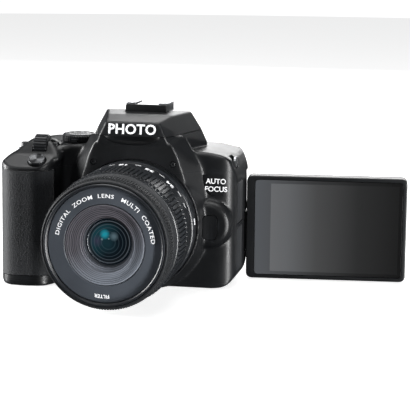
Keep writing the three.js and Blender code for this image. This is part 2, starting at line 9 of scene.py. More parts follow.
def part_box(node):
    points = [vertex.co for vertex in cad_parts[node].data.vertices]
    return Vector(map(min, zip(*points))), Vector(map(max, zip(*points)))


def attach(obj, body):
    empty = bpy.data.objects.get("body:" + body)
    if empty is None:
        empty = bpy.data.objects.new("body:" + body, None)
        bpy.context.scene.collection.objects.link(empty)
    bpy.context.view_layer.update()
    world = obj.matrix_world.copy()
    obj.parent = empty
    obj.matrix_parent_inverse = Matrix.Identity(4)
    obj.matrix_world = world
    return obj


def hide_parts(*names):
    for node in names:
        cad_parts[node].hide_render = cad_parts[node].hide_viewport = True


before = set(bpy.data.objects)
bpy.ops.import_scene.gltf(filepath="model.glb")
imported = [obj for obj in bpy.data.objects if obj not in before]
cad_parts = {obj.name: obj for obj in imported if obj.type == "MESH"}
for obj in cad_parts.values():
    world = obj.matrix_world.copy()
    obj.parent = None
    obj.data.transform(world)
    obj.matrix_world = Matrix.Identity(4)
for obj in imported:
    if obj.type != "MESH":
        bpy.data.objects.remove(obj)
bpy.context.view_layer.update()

# A small reflex camera with a zoom lens and its side-hinged screen swung out.
# Shapes are worked out in millimetres and stored in metres.
# X = 0 is the lens axis, and the lens looks along -Y.
MM = 0.001
AXIS_Z = 34.0
RIGHT, LEFT = 50.8, -70.0
GRIP_FRONT, FACE = -28.0, -12.0
BACK, BAND_BACK, THUMB_BACK = 25.2, 31.0, 33.0
SCREEN_TOP, FLOOR_TOP, WAIST, SPLIT = 56.7, 2.8, 61.0, 12.0
GAP = 0.3
HAIRLINE = 0.06  # seams that are pressed shut
SLOPE = math.radians(29.5)
SEAM_Z, HEAD_BACK = 79.2, 3.8
WING_INNER, WING_BACK = 11.7, 14.0
DIAL = (-34.7, 3.0)
SHUTTER = (-50.5, -23.2, 65.2)

scene = bpy.context.scene


# ---- shaping
def shape(name, points, faces):
    """A mesh object from points in millimetres."""
    mesh = bpy.data.meshes.new(name)
    mesh.from_pydata([Vector(p) * MM for p in points], [], faces)
    made = bpy.data.objects.new(name, mesh)
    scene.collection.objects.link(made)
    face_out(made)
    return made


def face_out(piece):
    work = bmesh.new()
    work.from_mesh(piece.data)
    bmesh.ops.recalc_face_normals(work, faces=work.faces)
    work.to_mesh(piece.data)
    work.free()


def settle(piece):
    """Applies the modifiers of a piece to its mesh."""
    bpy.context.view_layer.update()
    seen = piece.evaluated_get(bpy.context.evaluated_depsgraph_get())
    mesh = bpy.data.meshes.new_from_object(seen)
    old = piece.data
    piece.modifiers.clear()
    piece.data = mesh
    bpy.data.meshes.remove(old)
    return piece


def boolean(piece, tools, operation, keep_tools=False):
    for tool in tools:
        step = piece.modifiers.new("form", "BOOLEAN")
        step.operation = operation
        step.solver = "MANIFOLD"
        step.object = tool
    settle(piece)
    if not keep_tools:
        for tool in tools:
            bpy.data.objects.remove(tool)
    return piece


def join(first, *others):
    return boolean(first, others, "UNION")


def cut(piece, *tools):
    return boolean(piece, tools, "DIFFERENCE")


def common(piece, tool, keep_tools=False):
    return boolean(piece, [tool], "INTERSECT", keep_tools)


def twin(piece, name):
    made = bpy.data.objects.new(name, piece.data.copy())
    scene.collection.objects.link(made)
    return made


def soften(piece, voxel, rounds, strength=0.5):
    """Rebuilds a form with even faces and rounds its edges."""
    remesh = piece.modifiers.new("remesh", "REMESH")
    remesh.mode = "VOXEL"
    remesh.voxel_size = voxel * MM
    smooth = piece.modifiers.new("smooth", "SMOOTH")
    smooth.factor = strength
    smooth.iterations = rounds
    return settle(piece)


def melt(piece, across, deep, tall, rounds):
    """Runs neighbouring forms into each other inside a region, and in its mirror image across the lens."""
    group = piece.vertex_groups.new(name="melt")
    edge = 3.0
    for v in piece.data.vertices:
        x, y, z = abs(v.co.x) / MM, v.co.y / MM, v.co.z / MM
        room = min(x - across[0], across[1] - x, y - deep[0], deep[1] - y, z - tall[0], tall[1] - z)
        if room > 0:
            group.add([v.index], min(1.0, room / edge), "REPLACE")
    smooth = piece.modifiers.new("melt", "SMOOTH")
    smooth.factor = 0.5
    smooth.iterations = rounds
    smooth.vertex_group = "melt"
    settle(piece)
    piece.vertex_groups.clear()
    return piece


def thin_out(piece, share):
    """Fewer faces where a form is flat."""
    step = piece.modifiers.new("thin", "DECIMATE")
    step.ratio = share
    return settle(piece)


def ease_edges(piece, width, segments=2, angle=35):
    """A small rounded edge on every sharp corner of a made piece."""
    step = piece.modifiers.new("edges", "BEVEL")
    step.width = width * MM
    step.segments = segments
    step.limit_method = "ANGLE"
    step.angle_limit = math.radians(angle)
    return settle(piece)


def rounded(corners, steps=6):
    """An outline whose corners (across, up, reach) are rounded."""
    points = []
    count = len(corners)
    for i, (x, y, reach) in enumerate(corners):
        corner = Vector((x, y))
        if reach <= 0:
            points.append(corner)
            continue
        before = Vector(corners[i - 1][:2]) - corner
        after = Vector(corners[(i + 1) % count][:2]) - corner
        start = corner + before.normalized() * reach
        end = corner + after.normalized() * reach
        for k in range(steps + 1):
            t = k / steps
            points.append(start * (1 - t) ** 2 + corner * (2 * t * (1 - t)) + end * t**2)
    return points


def prism(name, corners, low, high, axis="z", steps=6):
    """A flat outline pushed along an axis. For axis y the outline is (x, z), and for x it is (y, z)."""
    flat = rounded(corners, steps)
    turn = {"z": lambda a, b, c: (a, b, c), "y": lambda a, b, c: (a, c, b), "x": lambda a, b,
        c: (c, a, b)}[axis]
    points = [turn(p.x, p.y, low) for p in flat] + [turn(p.x, p.y, high) for p in flat]
    n = len(flat)
    faces = [list(range(n)), list(range(2 * n - 1, n - 1, -1))]
    faces += [[i, (i + 1) % n, n + (i + 1) % n, n + i] for i in range(n)]
    return shape(name, points, faces)


def block(x0, x1, y0, y1, z0, z1, name="block"):
    return prism(name, [(x0, y0, 0), (x1, y0, 0), (x1, y1, 0), (x0, y1, 0)], z0, z1)


def pad(x0, x1, z0, z1, reach, y0, y1, name="pad", steps=6):
    """A rounded block standing along Y."""
    return prism(name, [(x0, z0, reach), (x1, z0, reach), (x1, z1, reach), (x0, z1, reach)], y0, y1, "y",
        steps)


def rod(axis, radius, low, high, a, b, sides=40, name="rod"):
    ring = [(a + radius * math.cos(t), b + radius * math.sin(t), 0) for t in np.linspace(0, 2 * math.pi,
        sides, False)]
    return prism(name, ring, low, high, axis)


def turned(profile, sides=96, wave=None, closed=True, centre=(0, AXIS_Z), axis="y", name="turned"):
    """A body of revolution from (radius, place) pairs along an axis. A wave moves each radius."""
    rows = []
    points = []
    for k, (radius, along) in enumerate(profile):
        if radius <= 0:
            rows.append([len(points)] * sides)
            points.append((0.0, 0.0, along))
            continue
        rows.append(list(range(len(points), len(points) + sides)))
        for i in range(sides):
            t = 2 * math.pi * i / sides
            r = radius + (wave(k, i) if wave else 0)
            points.append((r * math.cos(t), r * math.sin(t), along))
    place = {
        "y": lambda u, v, w: (u + centre[0], w, v + centre[1]),
        "z": lambda u, v, w: (u + centre[0], v + centre[1], w),
        "x": lambda u, v, w: (w, u + centre[0], v + centre[1]),
    }[axis]
    faces = []
    last = len(rows) if closed else len(rows) - 1
    for k in range(last):
        low, high = rows[k], rows[(k + 1) % len(rows)]
        for i in range(sides):
            j = (i + 1) % sides
            face = []
            for corner in (low[i], low[j], high[j], high[i]):
                if corner not in face:
                    face.append(corner)
            if len(face) > 2:
                faces.append(face)
    return shape(name, [place(*p) for p in points], faces)


def hull(points, soft=0.0, name="hull"):
    """The convex body around some points. With soft, its edges have that radius."""
    cloud = [Vector(p) for p in points]
    if soft > 0:
        low = Vector([min(p[i] for p in cloud) for i in range(3)])
        high = Vector([max(p[i] for p in cloud) for i in range(3)])
        middle = (low + high) / 2
        half = (high - low) / 2
        keep = Vector([(h - soft) / h for h in half])
        inner = [Vector([middle[i] + (p[i] - middle[i]) * keep[i] for i in range(3)]) for p in cloud]
        ball = bmesh.new()
        bmesh.ops.create_icosphere(ball, subdivisions=2, radius=soft)
        around = [v.co.copy() for v in ball.verts]
        ball.free()
        cloud = [p + r for p in inner for r in around]
    work = bmesh.new()
    for p in cloud:
        work.verts.new(p * MM)
    made = bmesh.ops.convex_hull(work, input=work.verts)
    spare = [g for g in made["geom_interior"] + made["geom_unused"] if isinstance(g, bmesh.types.BMVert)]
    bmesh.ops.delete(work, geom=list(set(spare)), context="VERTS")
    mesh = bpy.data.meshes.new(name)
    work.to_mesh(mesh)
    work.free()
    piece = bpy.data.objects.new(name, mesh)
    scene.collection.objects.link(piece)
    face_out(piece)
    return piece


def both_sides(points):
    return [(s * x, y, z) for x, y, z in points for s in (1, -1)]


def move(piece, matrix):
    piece.data.transform(matrix)
    return piece


def shifted(x, y, z):
    return Matrix.Translation(Vector((x, y, z)) * MM)


# ---- finishes
class Amount:
    """A number that varies over a surface. Adding, multiplying and so on add the Math nodes."""

    def __init__(self, finish, socket):
        self.finish, self.socket = finish, socket

    def math(self, operation, *values):
        made = self.finish.add("ShaderNodeMath", {"operation": operation},
            dict(enumerate((self,) + values)))
        return Amount(self.finish, made.outputs[0])

    def __add__(self, other):
        return self.math("ADD", other)

    def __radd__(self, other):
        return self.math("ADD", other)

    def __mul__(self, other):
        return self.math("MULTIPLY", other)

    def __rmul__(self, other):
        return self.math("MULTIPLY", other)

    def __sub__(self, other):
        return self.math("SUBTRACT", other)

    def __rsub__(self, other):
        return (self * -1.0).math("ADD", other)

    def __truediv__(self, other):
        return self.math("DIVIDE", other)

    def __pow__(self, other):
        return self.math("POWER", other)

    def over(self, low, high):
        """0 below low, 1 above high."""
        made = self.finish.add("ShaderNodeMapRange", {"clamp": True},
            {0: self, 1: low, 2: high, 3: 0.0, 4: 1.0})
        return Amount(self.finish, made.outputs[0])


class Finish:
    """A material built from nodes."""

    def __init__(self, name, **constants):
        self.material = bpy.data.materials.new(name)
        self.material.use_nodes = True
        self.tree = self.material.node_tree
        self.tree.nodes.clear()
        self.shader = self.add("ShaderNodeBsdfPrincipled", {}, constants)
        out = self.add("ShaderNodeOutputMaterial")
        self.tree.links.new(self.shader.outputs[0], out.inputs[0])
        self.where = self.add("ShaderNodeTexCoord").outputs["Object"]

    def add(self, kind, settings=None, values=None):
        made = self.tree.nodes.new(kind)
        for key, value in (settings or {}).items():
            if key == "stops":
                ramp = made.color_ramp
                while len(ramp.elements) < len(value):
                    ramp.elements.new(0.5)
                for element, (place, colour) in zip(ramp.elements, value):
                    element.position, element.color = place, colour
            else:
                setattr(made, key, value)
        for key, value in (values or {}).items():
            self.join(made.inputs[key], value)
        return made

    def join(self, socket, value):
        if isinstance(value, Amount):
            self.tree.links.new(value.socket, socket)
        elif isinstance(value, bpy.types.NodeSocket):
            self.tree.links.new(value, socket)
        else:
            socket.default_value = value

    def set(self, name, value):
        self.join(self.shader.inputs[name], value)

    def grain(self, scale, detail=3.0, roughness=0.55, where=None):
        made = self.add("ShaderNodeTexNoise", {}, {
            "Vector": where or self.where, "Scale": scale, "Detail": detail, "Roughness": roughness})
        return Amount(self, made.outputs[0])

    def cells(self, scale, feature="F1", where=None):
        made = self.add("ShaderNodeTexVoronoi", {"feature": feature},
            {"Vector": where or self.where, "Scale": scale})
        return Amount(self, made.outputs["Distance"])

    def stretched(self, x, y, z):
        made = self.add("ShaderNodeVectorMath", {"operation": "MULTIPLY"}, {0: self.where, 1: (x, y, z)})
        return made.outputs[0]

    def axes(self):
        made = self.add("ShaderNodeSeparateXYZ", {}, {0: self.where})
        return [Amount(self, s) for s in made.outputs]

    def edge_wear_and_highlight(self, low=0.52, high=0.62):
        """1 on proud edges."""
        made = self.add("ShaderNodeNewGeometry")
        return Amount(self, made.outputs["Pointiness"]).over(low, high)

    def blend(self, share, first, second):
        made = self.add("ShaderNodeMix", {"data_type": "RGBA"}, {0: share, 6: first, 7: second})
        return made.outputs[2]

    def bump(self, height, strength, distance):
        made = self.add("ShaderNodeBump", {}, {"Strength": strength, "Distance": distance * MM,
            "Height": height})
        self.set("Normal", made.outputs[0])


def grey(level, tint=0.0):
    """A near-neutral colour; tint leans it towards blue."""
    return (level * (1 - tint), level, level * (1 + 1.6 * tint), 1.0)


def plastic(name, dark, light, rough, grain_size, grain_depth, tint=0.08, edge=0.5):
    """Moulded plastic: fine spark-eroded grain, faint handling marks and paler edges, which are partly wear
    and partly a painted highlight.
    """
    made = Finish(name, **{"IOR": 1.5})
    patches = made.grain(60.0, 4.0)
    fine = made.grain(grain_size, 2.0, 0.6)
    tone = made.blend(patches.over(0.35, 0.7), grey(dark, tint), grey(light, tint))
    # Proud edges are lightened: partly wear, partly a painted highlight.
    made.set("Base Color", made.blend(made.edge_wear_and_highlight() * edge, tone, grey(light * 2.6, tint)))
    made.set("Roughness", rough + (patches - 0.5) * 0.16 + (fine - 0.5) * 0.08)
    made.bump(fine, 0.35, grain_depth)
    return made.material


def rubber(name, dark, light, cell, depth, sheen=0.05):
    """Rubber skin with a leather-like pebble."""
    made = Finish(name, **{"IOR": 1.45, "Sheen Weight": sheen, "Sheen Roughness": 0.5})
    pebble = made.cells(cell, "SMOOTH_F1")
    fine = made.grain(cell * 2.2, 3.0, 0.6)
    patches = made.grain(45.0, 3.0)
    height = pebble * 0.7 + fine * 0.5
    tone = made.blend(height.over(0.3, 0.85), grey(light, 0.1), grey(dark, 0.1))
    made.set("Base Color", made.blend(patches.over(0.4, 0.75) * 0.4, tone, grey(light * 1.3, 0.1)))
    made.set("Roughness", 0.62 + (fine - 0.5) * 0.3 + (patches - 0.5) * 0.12)
    made.bump(height, 0.8, depth)
    return made.material


def metal(name, level, rough, along=(1, 1, 1), tint=0.02):
    made = Finish(name, **{"Metallic": 1.0})
    streak = made.grain(900.0, 3.0, 0.6, made.stretched(*along))
    patches = made.grain(70.0, 3.0)
    made.set("Base Color", made.blend(streak.over(0.3, 0.7), grey(level * 0.86, tint), grey(level, tint)))
    made.set("Roughness", rough + (streak - 0.5) * 0.14 + (patches - 0.5) * 0.1)
    made.bump(streak, 0.15, 0.02)
    return made.material


black_casing = plastic("black casing", 0.0048, 0.0075, 0.41, 2600.0, 0.035, 0.10)
dark_trim = plastic("dark trim", 0.007, 0.011, 0.36, 3200.0, 0.02, 0.08)
button_black = plastic("button black", 0.009, 0.014, 0.34, 3000.0, 0.015, 0.06, 0.7)
lens_black = plastic("lens black", 0.009, 0.016, 0.34, 2800.0, 0.02, 0.12, 0.6)
ring_rubber = rubber("ring rubber", 0.009, 0.018, 2200.0, 0.03)
satin_ring = plastic("satin ring", 0.070, 0.086, 0.40, 3600.0, 0.012, 0.12, 0.2)
grip_rubber = rubber("grip rubber", 0.008, 0.024, 1500.0, 0.24, 0.2)
soft_rubber = rubber("soft rubber", 0.010, 0.018, 2600.0, 0.04)
circuit_green = plastic("circuit board green", 0.02, 0.03, 0.5, 1500.0, 0.03, 0.0)
battery_grey = plastic("battery grey", 0.03, 0.045, 0.55, 1800.0, 0.03)
card_blue = plastic("card blue", 0.012, 0.02, 0.45, 2500.0, 0.01, 0.5)
light_trap = plastic("light trap black", 0.004, 0.006, 0.85, 1800.0, 0.05)
steel_parts = metal("bright steel", 0.52, 0.34, (1, 6, 1))
mirror_silver = metal("mirror silver", 0.86, 0.04)
frosted = Finish("frosted clear", **{"IOR": 1.45, "Transmission Weight": 0.85})
frosted.set("Base Color", (0.9, 0.92, 0.94, 1))
frosted.set("Roughness", 0.32 + (frosted.grain(1400.0) - 0.5) * 0.3)
frosted.bump(frosted.cells(900.0), 0.4, 0.1)
frosted_clear = frosted.material


def print_with_painted_glow():
    # The print also glows: painted light that keeps it pale whatever the lamps.
    made = Finish("printed white", **{"IOR": 1.45, "Emission Strength": 0.62})
    speck = made.grain(1800.0, 3.0)
    made.set("Emission Color", made.blend(speck, grey(0.8), grey(1.0)))
    made.set("Base Color", made.blend(speck.over(0.3, 0.8), grey(0.62, 0.02), grey(0.82, 0.01)))
    made.set("Roughness", 0.5 + (speck - 0.5) * 0.2)
    made.bump(speck, 0.1, 0.01)
    return made.material


def spun_metal():
    """A turned disc: fine rings as bumps, and bright sectors painted into the colour as a highlight."""
    made = Finish("spun metal", **{"Metallic": 1.0})
    x, y, z = made.axes()
    across = x - SHUTTER[0] * MM
    up = (y - SHUTTER[1] * MM) * math.cos(SLOPE) + (z - SHUTTER[2] * MM) * math.sin(SLOPE)
    angle = up.math("ARCTAN2", across)
    # Painted highlight: bright and dark sectors round the centre, as if the rings caught the light.
    highlight_fans = (angle * 2.0 + 0.9).math("COSINE")
    lesser_highlight_fans = (angle * 5.0 + 1.7).math("COSINE") * 0.12
    distance = (across * across + up * up) ** 0.5
    rings = (distance * (2 * math.pi / (0.22 * MM))).math("SINE")
    share = (highlight_fans * 0.5 + 0.5 + lesser_highlight_fans).over(0.1, 0.95)
    made.set("Base Color", made.blend(share, grey(0.02, 0.03), grey(0.16, 0.02)))
    made.set("Roughness", 0.42 + (made.grain(2500.0) - 0.5) * 0.1)
    made.bump(rings, 0.25, 0.03)
    return made.material


def screen_face():
    """The glossy front of the screen: the dark border round the active area and the area itself, each with a
    painted reflection that darkens to the right, which also glows.
    """
    made = Finish("screen gloss", **{"IOR": 1.45, "Specular IOR Level": 0.3, "Emission Strength": 0.4})
    x, y, z = made.axes()
    low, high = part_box("lcd_panel")
    glass_low, glass_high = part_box("screen_glass")
    edge = 0.12 * MM
    inside = (
        x.over(low.x - edge, low.x + edge)
        * (1 - x.over(high.x - edge, high.x + edge))
        * z.over(low.z - edge, low.z + edge)
        * (1 - z.over(high.z - edge, high.z + edge))
    )
    # Both ramps are painted reflections, pale at the left and near black at the right, given to base colour
    # and to glow.
    along = (x - glass_low.x) / (glass_high.x - glass_low.x)
    active_area_reflection = made.add("ShaderNodeValToRGB", {"stops": [
        (0.0, grey(0.118, 0.02)), (0.22, grey(0.088, 0.03)), (0.42, grey(0.044, 0.01)),
        (0.7, grey(0.016, 0.01)), (1.0, grey(0.006, 0.0))]}, {0: along})
    border_reflection = made.add("ShaderNodeValToRGB", {"stops": [
        (0.0, grey(0.074, 0.06)), (0.16, grey(0.056, 0.04)), (0.4, grey(0.026, 0.02)),
        (0.7, grey(0.010, 0.01)), (1.0, grey(0.004, 0.0))]}, {0: along})
    haze = made.grain(18.0, 2.0)
    painted_reflection = made.blend(inside, border_reflection.outputs[0], active_area_reflection.outputs[0])
    tone = made.blend(haze * 0.08, painted_reflection, grey(0.03, 0.03))
    made.set("Base Color", tone)
    made.set("Emission Color", tone)
    made.set("Roughness", 0.10 + made.grain(40.0, 4.0) * 0.06)
    made.bump(made.grain(120.0), 0.02, 0.05)
    return made.material


def coated_glass(name, strength, reach):
    """Coated glass: dark, with a painted reflection given as glow: tinted patches, glints and the rings of
    the elements behind it.
    """
    made = Finish(name, **{"IOR": 1.6, "Emission Strength": strength})
    x, y, z = made.axes()
    across = x / (reach * MM)
    up = (z - AXIS_Z * MM) / (reach * MM)
    radius = (across * across + up * up) ** 0.5

    def patch(at_x, at_z, size, soft=1.0):
        dx, dz = across - at_x, up - at_z
        return (1 - ((dx * dx + dz * dz) ** 0.5).over(size * (1 - soft), size))

    def ring(at, width):
        return 1 - (radius - at).math("ABSOLUTE").over(width * 0.3, width)

    # Painted reflections and glints on the glass, set as the emission colour so the glass glows.
    upper_left_reflection = (up * 0.6 - across + 0.25).over(0.0, 1.3)
    glow = made.blend(upper_left_reflection * (1 - radius.over(0.7, 0.9)), (0.0012, 0.004, 0.007, 1),
        (0.007, 0.045, 0.058, 1))
    painted_reflection_layers = (
        (patch(-0.50, 0.04, 0.30) * 0.55, (0.050, 0.028, 0.066)),
        (patch(-0.16, 0.34, 0.24, 0.7) * 0.95, (0.008, 0.25, 0.32)),
        (patch(0.24, 0.26, 0.22, 0.8) * 0.7, (0.11, 0.17, 0.20)),
        (patch(0.05, -0.12, 0.45) * 0.3, (0.008, 0.045, 0.060)),
        (patch(-0.28, 0.12, 0.06, 0.8) * 0.45, (0.30, 0.46, 0.50)),
        (patch(0.02, 0.16, 0.05, 0.8) * 0.45, (0.30, 0.46, 0.50)),
        (ring(0.30, 0.03) * 0.25, (0.05, 0.09, 0.11)),
        (ring(0.46, 0.025) * 0.3, (0.05, 0.08, 0.10)),
        (ring(0.62, 0.02) * 0.4, (0.06, 0.09, 0.11)),
        (ring(0.76, 0.02) * 0.5, (0.09, 0.11, 0.13)),
        (ring(0.84, 0.03) * 0.9, (0.002, 0.003, 0.004)),
        (ring(0.90, 0.02) * 0.7, (0.12, 0.14, 0.16)),
    )
    for share, colour in painted_reflection_layers:
        glow = made.blend(share, glow, (*colour, 1))
    made.set("Emission Color", glow)
    swirl = made.grain(260.0, 2.0)
    made.set("Base Color", made.blend(radius.over(0.2, 1.0), (0.003, 0.006, 0.008, 1),
        (0.003, 0.004, 0.005, 1)))
    made.set("Roughness", 0.05 + swirl * 0.04)
    made.bump(swirl, 0.01, 0.02)
    return made.material


white_ink = print_with_painted_glow()
spun_button = spun_metal()
screen_gloss = screen_face()
front_glass = coated_glass("coated front glass", 1.0, 11.3)
inner_glass = coated_glass("coated inner glass", 0.3, 11.3)


def present(piece, name, body, material, slot, *nodes, crease=32):
    """Names a piece, gives it its finish, and hangs it on its body in place of the plain solids."""
    piece.name = name
    piece.data.name = name
    piece.data.materials.clear()
    piece.data.materials.append(material)
    piece.data.shade_smooth()
    piece.data.set_sharp_from_angle(angle=math.radians(crease))
    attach(piece, body)
    if nodes:
        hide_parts(*nodes)
    return piece


# ---- casing
def plan(inset, back):
    return [
        (LEFT + inset, GRIP_FRONT + inset, 10), (-45 - inset, GRIP_FRONT + inset, 8),
        (-40 - inset, FACE + inset, 3), (RIGHT - inset, FACE + inset, 10),
        (RIGHT - inset, back - inset, 1.5), (-38.5 - inset, back - inset, 0.5),
        (-39.5 - inset, THUMB_BACK - inset, 1.5), (LEFT + inset, THUMB_BACK - inset, 9),
    ]


FRONT_VIEW = [
    (LEFT, 0, 5), (RIGHT, 0, 11.5), (RIGHT, 61.5, 9), (46.2, 68.4, 3.5), (36, 70.4, 3), (-24, 72.6, 2),
    (-60, 71.2, 6), (LEFT, 64.5, 5),
]
HUMP = both_sides([
    (13.8, -25.2, 86.2), (16.8, -26.2, 79.4), (17.2, -8, 88.3), (22.6, 13, 88.4), (19, 30, 86.6),
    (21, -14, 78.6),
    (27.6, 15, 79.4), (22, -21, 66), (31, 15, 72), (26, 32.6, 72), (22, 33.6, 60), (23, -10, 62),
])
FASCIA = both_sides([
    (15.2, -24.4, 79.8), (20.2, -24.2, 75), (22.8, -23.8, 69.5), (27.4, -22.8, 55), (27.6, -22.6, 34),
    (25, -10.5, 78), (34, -11, 62), (38.5, -11.4, 34),
])


def outer_form():
    low = prism("casing", plan(0, BACK), 0, SCREEN_TOP, steps=8)
    body = join(low, prism("upper", plan(0, BAND_BACK), SCREEN_TOP - 0.1, 76, steps=8))
    common(body, prism("view", FRONT_VIEW, GRIP_FRONT - 1, THUMB_BACK + 1, "y", 8))
    slope = move(block(-30, 30, -20, 20, 0, 20), shifted(SHUTTER[0] - 10, SHUTTER[1], SHUTTER[2] - 0.9)
            @ Matrix.Rotation(SLOPE, 4, "X"))
    cut(body, common(slope, block(LEFT - 1, -36, GRIP_FRONT - 5, FACE + 1, 60, 90)))
    soften(body, 0.7, 7)
    shroud = turned([(0, -10), (38, -10), (37, -14), (34.6, -22.6), (34.2, -23.6), (0, -23.6)], 96,
        closed=False)
    boss = turned([(0, -10), (12.5, -10), (12.5, -12.2), (12.1, -14), (11, -15.6), (9.4, -16.5),
        (0, -16.6)], 64,
            closed=False, centre=(37, AXIS_Z))
    ramp = hull([(-65.5, -19.4, 63), (-39.5, -19.4, 63), (-45, -13.2, 73.4), (-57, -13.2, 73.6),
            (-45, -5, 74.3), (-57, -5, 74.4), (-39.5, 1, 67), (-66, 1, 67)], 2.0)
    eye = pad(-16, 16, 60, 81, 3, 25, 33.7)
    join(body, hull(HUMP, 0.9), hull(FASCIA, 0.5), shroud, boss, ramp, eye)
    common(body, block(-80, 60, -40, 40, 0, 95))
    soften(body, 0.5, 5)
    melt(body, (22, 46), (-23.0, -8), (16, 78), 40)
    return melt(body, (37, 69), (-22, 1), (63, 77), 30)


def head_zone(gap):
    return join(
        block(-40, 40, -40, HEAD_BACK + gap, SEAM_Z - gap, 95),
        block(-40, -WING_INNER + gap, -39.9, WING_BACK + gap, SEAM_Z - gap, 95.1),
        block(WING_INNER - gap, 40, -39.9, WING_BACK + gap, SEAM_Z - gap, 95.1),
    )


def skin_zone(grow):
    return join(
        block(LEFT - 1, -42.6 + grow, GRIP_FRONT - 1, -6 + grow, FLOOR_TOP + 2.8 - grow,
        WAIST - 1.2 + grow),
        block(LEFT - 1, -60, -6.1, 22 + grow, FLOOR_TOP + 2.8 - grow, WAIST - 1.2 + grow),
    )


BACK_BUTTONS = {
    "exposure_button": (-46, 45, THUMB_BACK, 2.7), "playback_button": (-61, 13, THUMB_BACK, 2.6),
    "delete_button": (-48, 13, THUMB_BACK, 2.6), "ae_lock_button": (-54, 56.5, THUMB_BACK, 2.3),
    "af_point_button": (-62, 56.5, THUMB_BACK, 2.3), "menu_button": (40, 63, BAND_BACK, 2.4),
    "info_button": (32, 63, BAND_BACK, 2.4), "live_view_button": (-31, 63, BAND_BACK, 2.6),
}
CROSS = (-54.5, 29.0, 8.4)


def button_holes(low, high):
    return [rod("y", r + GAP, back - 4, back + 1, x, z, 28)
            for x, z, back, r in BACK_BUTTONS.values() if low < z < high]


def inner_room():
    """The hollow of the casing, in separate overlapping rooms."""
    return [
        block(-40, 43.5, FACE + 2.2, BACK - 2.2, FLOOR_TOP - 0.1, 65.5),
        block(-41, 43.5, 14, BAND_BACK - 2.2, SCREEN_TOP + 2.2, 65.4),
        prism("grip room", [(-66.6, -24.4, 7), (-47.6, -24.4, 5), (-47.6, 13, 1), (-66.6, 13, 1)],
              FLOOR_TOP - 0.1, 59.5),
        prism("thumb room", [(-66.6, 12.9, 1), (-41.5, 12.9, 1), (-41.5, 30, 1), (-66.6, 30, 6)],
              FLOOR_TOP - 0.1, 66),
        block(-48, -39, -8, 20, FLOOR_TOP - 0.1, 66),
        block(-62, -25.5, -5, 27, 60, 68.4),
        block(24, 42, -8, 27, 60, 67.4),
        block(-24, 24, -20, FACE + 2.3, 11, 58.4),
        hull(both_sides([(17, -12, 56), (17, 28, 56), (14, -18, 76.4), (15, 26, 76.4)])),
        block(-9, 9, 7, 26, 70, 85),
        rod("y", 27.5, -30, FACE, 0, AXIS_Z, 64),
        rod("y", 33.5, -30, -20, 0, AXIS_Z, 96),
    ]


def portion(whole, name, zone):
    return common(twin(whole, name), zone)


